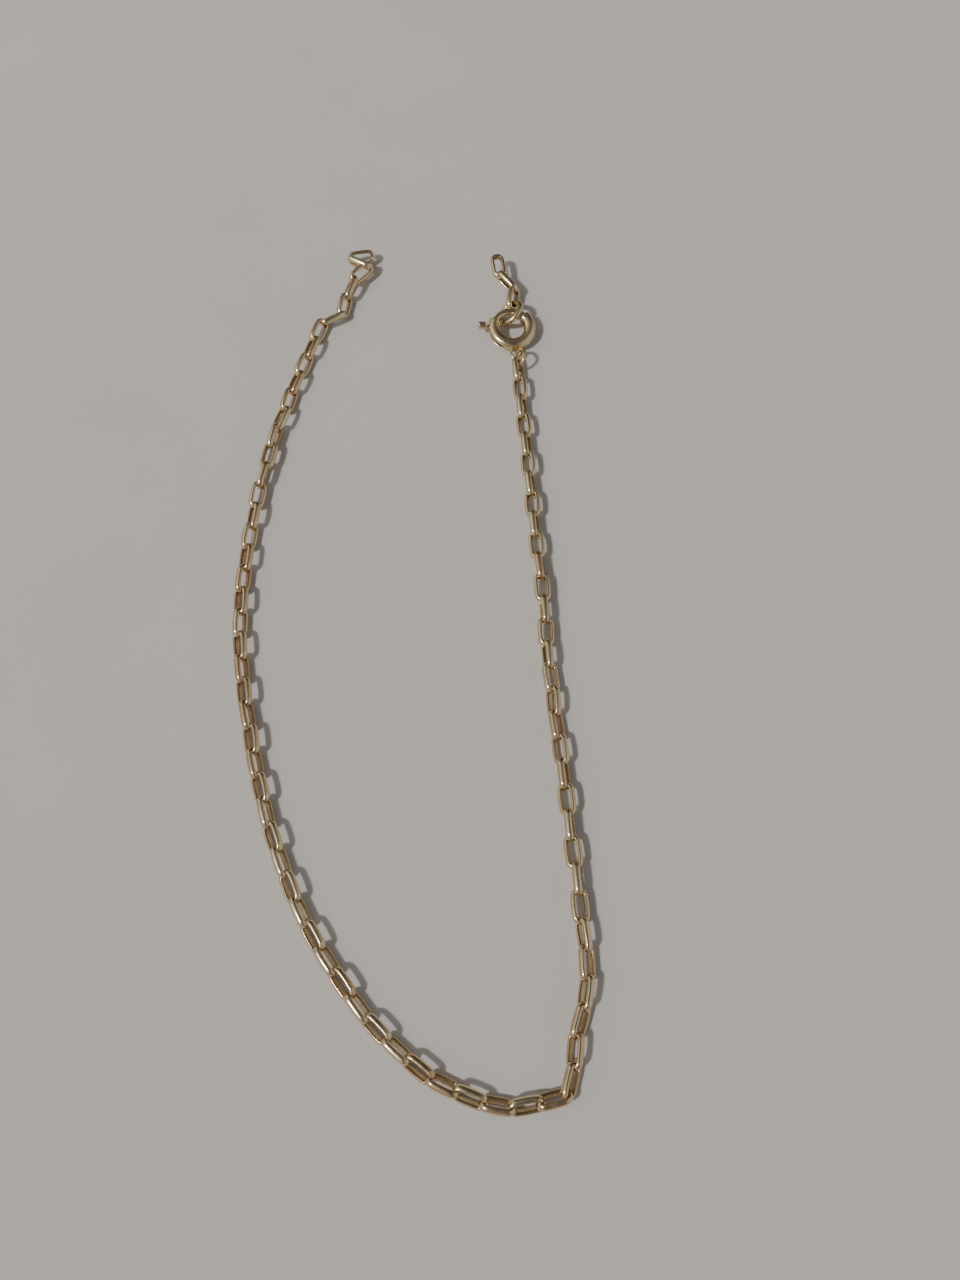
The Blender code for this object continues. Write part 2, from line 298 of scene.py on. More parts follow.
@dataclass(frozen=True)
class UncoatedCard:
    """Pale uncoated card, pressed smooth between rollers."""

    # Without a coating it is dull, with a faint mottle where its fibres lie thicker.

    colour: str = "#D2CCC5"
    mottle: str = "#CCC6C0"
    mottle_mm: float = 14.0
    mottle_detail: float = 2.0
    roughness: float = 0.85
    gloss: float = 0.25
    # Real fibres are about 0.03 mm wide, too fine to show, so they are drawn ten times as wide
    fibre_mm: float = 0.35
    fibre_detail: float = 3.0
    fibre_depth_mm: float = 0.01
    fibre_strength: float = 0.2

    def build(self) -> bpy.types.Material:
        """Makes the card's material.

        Returns:
            The material of the surface that the bracelet lies on.
        """
        material = bpy.data.materials.new("uncoated_card")
        material.use_nodes = True
        tree = material.node_tree
        shader = tree.nodes["Principled BSDF"]
        shader.inputs["Roughness"].default_value = self.roughness
        shader.inputs["Specular IOR Level"].default_value = self.gloss
        place = add_node(tree, "ShaderNodeTexCoord").outputs["Object"]
        thickness = add_node(
            tree,
            "ShaderNodeTexNoise",
            inputs={"Vector": place, "Scale": 1 / (self.mottle_mm * MM), "Detail": self.mottle_detail},
        ).outputs["Fac"]
        fibres = add_node(
            tree,
            "ShaderNodeTexNoise",
            inputs={"Vector": place, "Scale": 1 / (self.fibre_mm * MM), "Detail": self.fibre_detail},
        ).outputs["Fac"]
        colour = add_node(
            tree,
            "ShaderNodeMix",
            {"data_type": "RGBA"},
            {0: thickness, 6: linear_colour(self.colour), 7: linear_colour(self.mottle)},
        ).outputs[2]
        bump = add_node(
            tree,
            "ShaderNodeBump",
            inputs={
                "Height": fibres,
                "Strength": self.fibre_strength,
                "Distance": self.fibre_depth_mm * MM,
            },
        ).outputs["Normal"]
        tree.links.new(colour, shader.inputs["Base Color"])
        tree.links.new(bump, shader.inputs["Normal"])
        return material


def show_piece(
    name: str, mesh: bpy.types.Mesh, finish: bpy.types.Material, body: Body, slot: Slot, *nodes: str
) -> None:
    """Puts a finished mesh in the scene in place of its CAD nodes.

    Args:
        name: The piece's name.
        mesh: Its mesh, in metres, in the bracelet's own frame.
        finish: The material.
        body: The body that it moves with.
        slot: The record's material slot; not used.
        nodes: The CAD nodes that it stands for.
    """
    piece = bpy.data.objects.new(name, mesh)
    bpy.context.scene.collection.objects.link(piece)
    mesh.materials.clear()
    mesh.materials.append(finish)
    mesh.shade_smooth()
    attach(piece, body.value)
    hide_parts(*nodes)
    log.info("%s: %d faces", name, len(mesh.polygons))


def set_attribute(mesh: bpy.types.Mesh, name: str, values: Sequence[float]) -> None:
    """Stores one number for each vertex under a name that the finish reads.

    Args:
        mesh: The mesh.
        name: The attribute's name.
        values: One value for each vertex.
    """
    attribute = mesh.attributes.get(name) or mesh.attributes.new(name, "FLOAT", "POINT")
    attribute.data.foreach_set("value", list(values))


def grid_mesh(name: str, rows: Sequence[Sequence[Vector]], closed: bool, ring: bool) -> bpy.types.Mesh:
    """Makes a mesh of four-sided faces from rows of points.

    Args:
        name: The mesh's name.
        rows: The rows, all of one length.
        closed: Whether the last row joins the first.
        ring: Whether each row's last point joins its first.

    Returns:
        The mesh.
    """
    width = len(rows[0])
    bm = bmesh.new()
    verts = [[bm.verts.new(point) for point in row] for row in rows]
    for index in range(len(rows) if closed else len(rows) - 1):
        here, there = verts[index], verts[(index + 1) % len(rows)]
        for side in range(width if ring else width - 1):
            other = (side + 1) % width
            bm.faces.new((here[side], here[other], there[other], there[side]))
    bmesh.ops.recalc_face_normals(bm, faces=bm.faces[:])
    mesh = bpy.data.meshes.new(name)
    bm.to_mesh(mesh)
    bm.free()
    return mesh


def round_section(radius: float, sides: int) -> list[tuple[float, float]]:
    """Returns points round a circle, each as a distance out and a distance up."""
    angles = [2 * pi * side / sides for side in range(sides)]
    return [(radius * cos(angle), radius * sin(angle)) for angle in angles]


def beside_arc(radius: float, degrees_round: float, out: float, up: float) -> Vector:
    """Returns a point beside an arc about Z: out from it and up from it."""
    angle = radians(degrees_round)
    return Vector((cos(angle) * (radius + out), sin(angle) * (radius + out), up))


@dataclass(frozen=True)
class OvalWireLink:
    """One link: D-section wire bent to an oval with straight sides, its flat inward. Sizes in mm."""

    length: float = 3.24
    width: float = 1.62
    thickness: float = 0.42
    depth: float = 0.70
    # A leaning link lies this much lower than a square-edged one, because its section is rounded
    shoulder: float = 0.2
    bow: float = 0.03
    dome_share: float = 0.6
    # A squareness of two gives an ellipse, and a higher one comes nearer to a rectangle
    dome_squareness: float = 2.0
    flat_squareness: float = 4.5
    # The brown film on the flat inner side, thicker at the ends, is tarnish and painted shade where links
    # meet
    film_and_shade_on_flat: float = 0.75
    film_and_shade_end_share: float = 0.2
    end_steps: int = 20
    side_steps: int = 5
    section_steps: int = 28

    def outline(self) -> list[tuple[Vector, Vector]]:
        """Works out the line along the middle of the wire, with its sides bowed slightly outward.

        Returns:
            Points round the link, each with its outward direction.
        """
        end_radius = (self.width - self.thickness) / 2
        reach = (self.length - self.thickness) / 2 - end_radius
        loop = []
        for way in (1, -1):
            for step in range(self.end_steps + 1):
                angle = (step / self.end_steps - 0.5) * pi
                outward = Vector((way * cos(angle), way * sin(angle)))
                loop.append((Vector((way * reach, 0)) + outward * end_radius, outward))
            for step in range(1, self.side_steps):
                along = 1 - 2 * step / self.side_steps
                loop.append((Vector((way * reach * along, way * end_radius)), Vector((0, way))))
        bowed = []
        for point, outward in loop:
            bow = self.bow * max(0.0, 1 - (point.x / reach) ** 2)
            bowed.append((point + outward * bow, outward))
        return bowed

    def section(self) -> list[tuple[float, float]]:
        """Works out the wire's section: domed on the outside, nearly flat on the inside.

        Returns:
            Points round the wire: outward from its middle, and up along the link's axis.
        """
        points = []
        shift = (0.5 - self.dome_share) * self.thickness
        for step in range(self.section_steps):
            angle = 2 * pi * step / self.section_steps
            out, up = cos(angle), sin(angle)
            power = self.dome_squareness if out > 0 else self.flat_squareness
            share = self.dome_share if out > 0 else 1 - self.dome_share
            size = (abs(out) ** power + abs(up) ** power) ** (-1 / power)
            points.append((out * size * share * self.thickness + shift, up * size * self.depth / 2))
        return points

    def film_and_shade(self, along: float, out: float) -> float:
        """Works out the brown film, which is tarnish and painted shade: on the flat alone, and thicker
        near the link's ends, where neighbouring links shade it.

        Args:
            along: The distance from the link's middle, along its length.
            out: The distance outward from the middle of the wire.

        Returns:
            The share of film and painted shade, from zero to one.
        """
        inward = max(0.0, -out / self.thickness * 2)
        end_start = self.length * (0.5 - self.film_and_shade_end_share)
        near_end = max(0.0, (along - end_start) / (self.length * self.film_and_shade_end_share))
        return min(1.0, inward * (self.film_and_shade_on_flat + near_end))

    def mesh(self) -> bpy.types.Mesh:
        """Sweeps the section round the outline.

        Returns:
            The link's mesh in metres, lying flat, with its length along X.
        """
        outline, section = self.outline(), self.section()
        rows = []
        film_and_shade = []
        for point, outward in outline:
            rows.append([Vector((*(point + outward * out), up)) * MM for out, up in section])
            film_and_shade += [self.film_and_shade(abs(point.x), out) for out, _ in section]
        mesh = grid_mesh("oval_wire_link", rows, closed=True, ring=True)
        set_attribute(mesh, "film_and_shade", film_and_shade)
        return mesh


@dataclass
class LinkLayout:
    """How links lie: end to end along a smooth line or a tumbled one, a little uneven. Sizes in mm."""

    link: OvalWireLink
    pitch: float = 2.4
    joint_wander: float = 0.07
    roll_wander: float = radians(4)
    fineness: int = 60
    wander: random.Random = field(default_factory=lambda: random.Random(11))
    tone_spread: random.Random = field(default_factory=lambda: random.Random(3))

    def rest_height(self, roll: float) -> float:
        """Works out how high the chain's middle lies.

        Args:
            roll: The links' roll in radians.

        Returns:
            The height in mm, with room for the unevenness of the roll.
        """
        steep, flat = max(abs(sin(roll)), abs(cos(roll))), min(abs(sin(roll)), abs(cos(roll)))
        room = self.roll_wander * self.link.width / 2
        return self.link.width / 2 * steep + (self.link.depth / 2 - self.link.shoulder) * flat + room

    @staticmethod
    def smooth_point(rows: Sequence[Bend], index: int, part: float) -> Vector:
        """Finds a point of the Catmull-Rom curve through the rows.

        Args:
            rows: The rows that the curve passes through.
            index: The number of the row before the point.
            part: How far the point is towards the next row, from zero to one.

        Returns:
            The point, with a row's four values.
        """
        before = Vector(rows[max(index - 1, 0)])
        start, end = Vector(rows[index]), Vector(rows[index + 1])
        after = Vector(rows[min(index + 2, len(rows) - 1)])
        cubic = (3 * start - before - 3 * end + after) * part**3
        square = (2 * before - 5 * start + 4 * end - after) * part**2
        return start + ((end - before) * part + square + cubic) / 2

    def joints(self, bends: Sequence[Bend], count: int) -> list[tuple[Vector, float]]:
        """Divides the line through the bends into equal steps.

        Args:
            bends: The rows that the line passes through.
            count: The number of links.

        Returns:
            The joints between links: a position in mm and a roll in radians.
        """
        samples = [
            self.smooth_point(bends, index, step / self.fineness)
            for index in range(len(bends) - 1)
            for step in range(self.fineness)
        ]
        samples.append(Vector(bends[-1]))
        travelled = [0.0]
        for start, end in zip(samples, samples[1:]):
            travelled.append(travelled[-1] + hypot(end[0] - start[0], end[1] - start[1]))
        joints = []
        at = 0
        for number in range(count + 1):
            goal = travelled[-1] * number / count
            while at < len(travelled) - 2 and travelled[at + 1] < goal:
                at += 1
            part = (goal - travelled[at]) / (travelled[at + 1] - travelled[at])
            x, y, roll, lift = samples[at].lerp(samples[at + 1], part)
            joints.append((Vector((x, y, self.rest_height(radians(roll)) + lift)), radians(roll)))
        return joints

    @staticmethod
    def place(start: Vector, end: Vector, roll: float) -> Matrix:
        """Places one link.

        Args:
            start: The joint that it runs from, in mm.
            end: The joint that it runs to, in mm.
            roll: Its roll about that line, in radians.

        Returns:
            The link's placing in mm.
        """
        run = end - start
        heading = Matrix.Rotation(atan2(run.y, run.x), 4, "Z")
        climb = Matrix.Rotation(-asin(run.z / run.length), 4, "Y")
        return Matrix.Translation((start + end) / 2) @ heading @ climb @ Matrix.Rotation(roll, 4, "X")

    def along(self, bends: Sequence[Bend], count: int, first_number: int) -> tuple[list[Matrix], Vector]:
        """Places the links of one run.

        Args:
            bends: The rows that the run passes through.
            count: The number of links.
            first_number: The number of its first link. Even links are turned by a right angle.

        Returns:
            The links' placings in mm, and the run's last joint.
        """
        joints = self.joints(bends, count)
        for index in range(1, count):
            position, roll = joints[index]
            across = (joints[index + 1][0] - joints[index - 1][0]).cross(Vector((0, 0, 1))).normalized()
            shift = self.wander.uniform(-self.joint_wander, self.joint_wander)
            joints[index] = (position + across * shift, roll)
        places = []
        for index in range(count):
            (start, start_roll), (end, end_roll) = joints[index], joints[index + 1]
            roll = (start_roll + end_roll) / 2
            if 0 < index < count - 1:
                roll += self.wander.uniform(-self.roll_wander, self.roll_wander)
            if (first_number + index) % 2 == 0:
                roll += pi / 2
            places.append(self.place(start, end, roll))
        return places, joints[-1][0]

    def tumbled(self, rows: Sequence[Tumbled], start: Vector) -> list[Matrix]:
        """Places links end to end from a table of directions.

        Args:
            rows: The links' directions.
            start: Where the first one starts, in mm.

        Returns:
            The links' placings in mm.
        """
        places = []
        for row in rows:
            heading, climb = radians(row.heading), radians(row.climb)
            run = Vector((cos(heading) * cos(climb), sin(heading) * cos(climb), sin(climb))) * self.pitch
            places.append(self.place(start, start + run, radians(row.roll)))
            start = start + run
        return places

    def mesh(self, name: str, places: Sequence[Matrix]) -> bpy.types.Mesh:
        """Copies the link to each place, each copy with a tone of its own.

        Args:
            name: The mesh's name.
            places: The placings in mm.

        Returns:
            One mesh with all the links.
        """
        link = self.link.mesh()
        bm = bmesh.new()
        for place in places:
            copy = link.copy()
            in_metres = place.copy()
            in_metres.translation = place.translation * MM
            copy.transform(in_metres)
            # Squared, so that most links stay near the first tone
            tone_share = self.tone_spread.random() ** 2
            set_attribute(copy, "link_tone", [tone_share] * len(copy.vertices))
            bm.from_mesh(copy)
            bpy.data.meshes.remove(copy)
        mesh = bpy.data.meshes.new(name)
        bm.to_mesh(mesh)
        bm.free()
        return mesh


@dataclass(frozen=True)
class BelcherChain:
    """The whole chain: the strand beside the clasp, then the long run round to the tumbled free end."""

    layout: LinkLayout
    first_number: int = 2
    clasp_side_links: int = 21
    free_side_links: int = 49
    clasp_side: tuple[Bend, ...] = (
        Bend(11.32, 30.165, 217, 0.08),
        Bend(11.8, 24.2, 212, 0.0),
        Bend(12.2, 19.0, 208, 0.0),
        Bend(12.8, 10.5, 203, 0.0),
        Bend(13.4, 3.2, 182, 0.0),
        Bend(14.0, -6.3, 155, 0.0),
        Bend(14.8, -13.5, 122, 0.0),
        Bend(15.36, -20.0, 110, 0.0),
    )
    free_side: tuple[Bend, ...] = (
        Bend(15.36, -20.0, 110, 0.0),
        Bend(15.8, -25.0, 102, 0.0),
        Bend(16.2, -30.0, 66, 0.0),
        Bend(16.6, -34.7, 54, 0.0),
        Bend(15.4, -39.4, 46, 0.0),
        Bend(14.7, -43.6, 46, 0.0),
        Bend(12.3, -44.35, 48, 0.0),
        Bend(9.4, -44.6, 50, 0.0),
        Bend(5.5, -43.6, 50, 0.0),
        Bend(1.3, -41.2, 52, 0.0),
        Bend(-3.8, -36.1, 54, 0.0),
        Bend(-8.0, -30.0, 55, 0.0),
        Bend(-11.2, -23.5, 55, 0.0),
        Bend(-14.1, -14.1, 55, 0.0),
        Bend(-16.1, -4.7, 55, 0.0),
        Bend(-16.6, 2.6, 52, 0.0),
        Bend(-16.1, 11.2, 38, 0.0),
        Bend(-15.1, 18.6, -8, 0.0),
        Bend(-13.9, 23.6, -36, 0.0),
        Bend(-12.9, 27.4, -45, 0.0),
        Bend(-12.0, 30.5, -45, 0.0),
        Bend(-11.2, 33.2, -45, 0.0),
    )
    free_end: tuple[Tumbled, ...] = (
        Tumbled(71, 0, 45),
        Tumbled(29, 1, 130),
        Tumbled(80, 2, 50),
        Tumbled(72, 6, 120),
        Tumbled(47, 3, 35),
        Tumbled(151, -3, 60),
        Tumbled(14, -5, 43),
    )

    def build(self, finish: bpy.types.Material) -> None:
        """Builds both stretches of chain.

        Args:
            finish: The links' material.
        """
        near, _ = self.layout.along(self.clasp_side, self.clasp_side_links, self.first_number)
        mesh = self.layout.mesh("links_beside_clasp", near)
        show_piece("links_beside_clasp", mesh, finish, Body.BRACELET, Slot.CHAIN, "chain_clasp_side")
        next_number = self.first_number + self.clasp_side_links
        far, last_joint = self.layout.along(self.free_side, self.free_side_links, next_number)
        far += self.layout.tumbled(self.free_end, last_joint)
        mesh = self.layout.mesh("links_round_to_free_end", far)
        show_piece("links_round_to_free_end", mesh, finish, Body.BRACELET, Slot.CHAIN, "chain_free_side")


def fitted_mesh(name: str, *fittings: Fitting, tone_share: float = 0.2) -> bpy.types.Mesh:
    """Joins the parts of one clasp piece into one mesh in metres.

    Args:
        name: The mesh's name.
        fittings: The parts.
        tone_share: How far the metal leans to the gold's second tone.

    Returns:
        The joined mesh.
    """
    bm = bmesh.new()
    for mesh, place, film_and_shade in fittings:
        mesh.transform(Matrix.Scale(MM, 4) @ place)
        set_attribute(mesh, "film_and_shade", [film_and_shade] * len(mesh.vertices))
        set_attribute(mesh, "link_tone", [tone_share] * len(mesh.vertices))
        bm.from_mesh(mesh)
        bpy.data.meshes.remove(mesh)
    joined = bpy.data.meshes.new(name)
    bm.to_mesh(joined)
    bm.free()
    return joined


@dataclass(frozen=True)
class ClaspCircle:
    """The circle that the clasp's tube is bent round, tilted so that one side is raised. Sizes in mm."""

    radius: float = 2.0
    centre: tuple[float, float, float] = (10.8, 34.4, 1.12)
    tilt: float = radians(8)
    raised_side: float = radians(112)

    def placing(self) -> Matrix:
        """Returns the circle's placing in mm, with its axis along Z."""
        axis = Vector((sin(self.raised_side), -cos(self.raised_side), 0))
        return Matrix.Translation(self.centre) @ Matrix.Rotation(self.tilt, 4, axis)

    def facing(self, angle: float) -> Matrix:
        """Returns a placing in mm at the circle's middle, with X towards an angle round it."""
        return self.placing() @ Matrix.Rotation(angle, 4, "Z")


@dataclass(frozen=True)
class WireRing:
    """A closed ring of round wire. Sizes in mm."""

    radius: float
    wire_radius: float
    film_and_shade: float
    steps: int = 64
    sides: int = 20

    def fitting(self, place: Matrix) -> Fitting:
        """Bends the wire round Z.

        Args:
            place: The ring's placing in mm.

        Returns:
            The ring's mesh, with its placing and film.
        """
        section = round_section(self.wire_radius, self.sides)
        rows = [
            [beside_arc(self.radius, 360 * step / self.steps, out, up) for out, up in section]
            for step in range(self.steps)
        ]
        return Fitting(grid_mesh("wire_ring", rows, closed=True, ring=True), place, self.film_and_shade)


@dataclass(frozen=True)
class BoltRingTube:
    """The bolt ring: a bent tube with a mouth, a collar at each end, a slot for the knob, and an eye.

    Sizes are in mm. Places along the tube are in degrees round its circle.
    """

    circle: ClaspCircle
    radius: float = 0.7
    wall: float = 0.12
    mouth: float = 158.0
    socket: float = 407.0
    collar_height: float = 0.03
    collar_width: float = 0.22
    collar_slope: float = 0.08
    slot_start: float = 169.1
    slot_end: float = 250.0
    slot_half_width: float = 0.24
    sharp_edge: float = radians(60)
    edge_rounding: float = 0.035
    eye: WireRing = WireRing(radius=0.6, wire_radius=0.15, film_and_shade=0.3)
    eye_angle: float = radians(279)
    eye_reach: float = 3.16
    film_and_shade: float = 0.1
    sides: int = 36
    step: float = 3.0
    slot_end_step: float = 0.9
    slot_end_steps: int = 9

    def slot_opening(self, place: float) -> float:
        """Works out the slot's half width, which shrinks to nothing at its round ends.

        Args:
            place: The place along the tube.

        Returns:
            Half the slot's width there.
        """
        inside = radians(min(place - self.slot_start, self.slot_end - place)) * self.circle.radius
        if inside <= 0:
            return 0.0
        if inside >= self.slot_half_width:
            return self.slot_half_width
        return (self.slot_half_width**2 - (self.slot_half_width - inside) ** 2) ** 0.5

    def outer_radius(self, place: float) -> float:
        """Works out the tube's outer radius, which is fullest at the collars.

        Args:
            place: The place along the tube.

        Returns:
            The radius there.
        """
        from_end = radians(min(place - self.mouth, self.socket - place)) * self.circle.radius
        past_collar = (from_end - self.collar_width) / self.collar_slope
        return self.radius - self.collar_height * min(1.0, max(0.0, past_collar))

    def skin(self) -> bpy.types.Mesh:
        """Bends the tube's outer skin, open along its slot.

        Returns:
            The skin's mesh in mm, without a wall.
        """
        count = ceil((self.socket - self.mouth) / self.step)
        stops = {self.socket} | {self.mouth + self.step * number for number in range(count)}
        for number in range(self.slot_end_steps):
            stops.add(self.slot_start + self.slot_end_step * number)
            stops.add(self.slot_end - self.slot_end_step * number)
        rows = []
        for stop in sorted(stops):
            radius = self.outer_radius(stop)
            half_gap = asin(self.slot_opening(stop) / radius)
            row = []
            for side in range(self.sides + 1):
                angle = half_gap + (2 * pi - 2 * half_gap) * side / self.sides
                row.append(beside_arc(self.circle.radius, stop, radius * cos(angle), radius * sin(angle)))
            rows.append(row)
        return grid_mesh("tube", rows, closed=False, ring=False)

    def tube(self) -> bpy.types.Mesh:
        """Closes the skin's seam and gives it its wall and soft edges.

        Returns:
            The tube's mesh in mm.
        """
        tube = self.skin()
        bm = bmesh.new()
        bm.from_mesh(tube)
        bmesh.ops.remove_doubles(bm, verts=bm.verts[:], dist=SEAM_GAP)
        bmesh.ops.recalc_face_normals(bm, faces=bm.faces[:])
        bmesh.ops.solidify(bm, geom=bm.faces[:], thickness=self.wall)
        rims = [edge for edge in bm.edges if edge.is_manifold and edge.calc_face_angle() > self.sharp_edge]
        bmesh.ops.bevel(
            bm,
            geom=rims,
            offset=self.edge_rounding,
            segments=2,
            profile=0.5,
            affect="EDGES",
            clamp_overlap=True,
        )
        bm.to_mesh(tube)
        bm.free()
        return tube

    def eye_placing(self) -> Matrix:
        """Returns the eye's placing in mm: outside the tube, in its plane."""
        return self.circle.facing(self.eye_angle) @ Matrix.Translation((self.eye_reach, 0, 0))

    def build(self, finish: bpy.types.Material) -> None:
        """Builds the tube with its eye.

        Args:
            finish: The clasp's material.
        """
        tube = Fitting(self.tube(), self.circle.placing(), self.film_and_shade)
        mesh = fitted_mesh("bolt_ring_tube", tube, self.eye.fitting(self.eye_placing()))
        show_piece("bolt_ring_tube", mesh, finish, Body.BRACELET, Slot.CLASP, "bolt_ring")


@dataclass(frozen=True)
class SlidingBolt:
    """The bent bar that slides in the tube, and the knob that draws it back.

    Sizes are in mm. Places along the bar are in degrees round the clasp's circle.
    """

    circle: ClaspCircle
    radius: float = 0.43
    tip: float = 42.0
    tail: float = 196.0
    bar_film: float = 0.1
    bar_sides: int = 24
    bar_steps: int = 60
    dome_steps: int = 6
    knob_angle: float = radians(176)
    # How far outside the circle the neck starts, still inside the bar
    neck_root: float = 0.2
    neck_radius: float = 0.15
    neck_flare: float = 0.06
    neck_reach: float = 2.92
    knob_radius: float = 0.42
    knob_reach: float = 3.75
    knob_rounding: float = 0.12
    knob_crown: float = 0.02
    knob_film: float = 0.15
    knob_sides: int = 28
    corner_steps: int = 4

    def bar(self) -> bpy.types.Mesh:
        """Bends the round bar along the circle, with domed ends.

        Returns:
            The bar's mesh in mm.
        """
        rows = []
        for step in range(-self.dome_steps, self.bar_steps + self.dome_steps + 1):
            on_bar = min(max(step, 0), self.bar_steps)
            turn = (step - on_bar) / self.dome_steps * pi / 2
            beyond = degrees(self.radius * sin(turn) / self.circle.radius)
            along = self.tip + (self.tail - self.tip) * on_bar / self.bar_steps + beyond
            section = round_section(max(self.radius * cos(turn), CLOSED_END), self.bar_sides)
            rows.append([beside_arc(self.circle.radius, along, out, up) for out, up in section])
        return grid_mesh("bent_bar", rows, closed=False, ring=True)

    def knob(self) -> bpy.types.Mesh:
        """Turns the neck and the knob in one, about X.

        Returns:
            The turned mesh in mm.
        """
        soft = self.knob_rounding
        turns = [pi / 2 * step / self.corner_steps for step in range(self.corner_steps + 1)]
        corner = [(soft * (1 - cos(turn)), soft * (1 - sin(turn))) for turn in turns]
        profile = [
            (self.circle.radius + self.neck_root, self.neck_radius),
            (self.neck_reach - self.neck_flare, self.neck_radius),
            (self.neck_reach, self.neck_radius + self.neck_flare),
        ]
        profile += [(self.neck_reach + inward, self.knob_radius - below) for inward, below in corner]
        corner.reverse()
        profile += [(self.knob_reach - inward, self.knob_radius - below) for inward, below in corner]
        profile.append((self.knob_reach + self.knob_crown, CLOSED_END))
        rows = [
            [Vector((x, across, up)) for across, up in round_section(radius, self.knob_sides)]
            for x, radius in profile
        ]
        return grid_mesh("knob", rows, closed=False, ring=True)

    def build(self, finish: bpy.types.Material) -> None:
        """Builds the bolt with its knob.

        Args:
            finish: The clasp's material.
        """
        bar = Fitting(self.bar(), self.circle.placing(), self.bar_film)
        knob = Fitting(self.knob(), self.circle.facing(self.knob_angle), self.knob_film)
        mesh = fitted_mesh("sliding_bolt", bar, knob)
        show_piece("sliding_bolt", mesh, finish, Body.BOLT, Slot.CLASP, "bolt")


@dataclass(frozen=True)
class JumpRing:
    """The ring between the chain and the clasp: on the surface, leaning, and through the eye."""

    wire: WireRing = WireRing(radius=1.07, wire_radius=0.17, film_and_shade=0.3)
    lean: float = radians(-32)

    def placing(self, eye: Vector) -> Matrix:
        """Leans the ring on the surface so that its wire passes through the eye.

        Args:
            eye: The middle of the eye, in mm.

        Returns:
            The ring's placing in mm.
        """
        height = self.wire.radius * cos(self.lean) + self.wire.wire_radius
        drop = (height - eye.z) / cos(self.lean)
        back = (self.wire.radius**2 - drop**2) ** 0.5
        centre = Vector((eye.x - drop * sin(self.lean), eye.y - back, height))
        return Matrix.Translation(centre) @ Matrix.Rotation(pi / 2 - self.lean, 4, "Y")

    def build(self, eye: Vector, finish: bpy.types.Material) -> None:
        """Builds the ring.

        Args:
            eye: The middle of the eye, in mm.
            finish: The clasp's material.
        """
        mesh = fitted_mesh("jump_ring_wire", self.wire.fitting(self.placing(eye)))
        show_piece("jump_ring_wire", mesh, finish, Body.BRACELET, Slot.CLASP, "jump_ring")


@dataclass(frozen=True)
class CatchRing:
    """The ring threaded on the bolt and leaning across it. Sizes in mm."""

    circle: ClaspCircle
    wire: WireRing = WireRing(radius=1.4, wire_radius=0.31, film_and_shade=0.2)
    # From the middle of the clasp's circle
    centre: tuple[float, float, float] = (-0.17, 2.03, -0.17)
    turn: float = radians(-14)
    lean: float = radians(46)
    pitch: float = radians(-5)
    # From the middle of this ring, in its plane
    link_seat: tuple[float, float, float] = (-0.19, 0.86, 0.0)

    def placing(self) -> Matrix:
        """Leans the ring across the bolt.

        Returns:
            The ring's placing in mm.
        """
        turn = Matrix.Rotation(self.turn, 4, "Z")
        lean = Matrix.Rotation(-self.lean, 4, "Y") @ Matrix.Rotation(self.pitch, 4, "X")
        return self.circle.placing() @ Matrix.Translation(self.centre) @ turn @ lean

    def seat(self) -> Vector:
        """Returns where the first of the loose links starts, in mm."""
        return self.placing() @ Vector(self.link_seat)

    def build(self, finish: bpy.types.Material) -> None:
        """Builds the ring.

        Args:
            finish: The clasp's material.
        """
        mesh = fitted_mesh("catch_ring_wire", self.wire.fitting(self.placing()))
        show_piece("catch_ring_wire", mesh, finish, Body.BRACELET, Slot.CLASP, "catch_ring")


@dataclass(frozen=True)
class LooseLinks:
    """The three links that hang from the catch ring."""

    layout: LinkLayout
    directions: tuple[Tumbled, ...] = (Tumbled(81, 3, 50), Tumbled(133, 9, 85), Tumbled(98, 3, 5))

    def build(self, start: Vector, finish: bpy.types.Material) -> None:
        """Builds the links.

        Args:
            start: Where the first one starts, in mm.
            finish: The links' material.
        """
        mesh = self.layout.mesh("links_on_catch_ring", self.layout.tumbled(self.directions, start))
        show_piece("links_on_catch_ring", mesh, finish, Body.BRACELET, Slot.CHAIN, "stub_links")


@dataclass(frozen=True)
class RoomPatch:
    """A soft round patch of the room, with one value in its core and another past its edge.

    The core and the edge are given by the cosines of their angles from the patch's middle.
    """

    towards: tuple[float, float, float]
    edge_cosine: float
    core_cosine: float
    outside: float
    inside: float

    def build(self, tree: bpy.types.NodeTree, direction: bpy.types.NodeSocket) -> bpy.types.NodeSocket:
        """Adds the patch to the world's nodes.

        Args:
            tree: The world's node tree.
            direction: The direction that is looked in.

        Returns:
            The patch's value in that direction.
        """
        facing = add_node(
            tree,
            "ShaderNodeVectorMath",
            {"operation": "DOT_PRODUCT"},
            {0: direction, 1: Vector(self.towards).normalized()},
        ).outputs["Value"]
        return add_node(
            tree,
            "ShaderNodeMapRange",
            {"interpolation_type": "SMOOTHSTEP"},
            {
                "Value": facing,
                "From Min": self.edge_cosine,
                "From Max": self.core_cosine,
                "To Min": self.outside,
                "To Max": self.inside,
            },
        ).outputs["Result"]


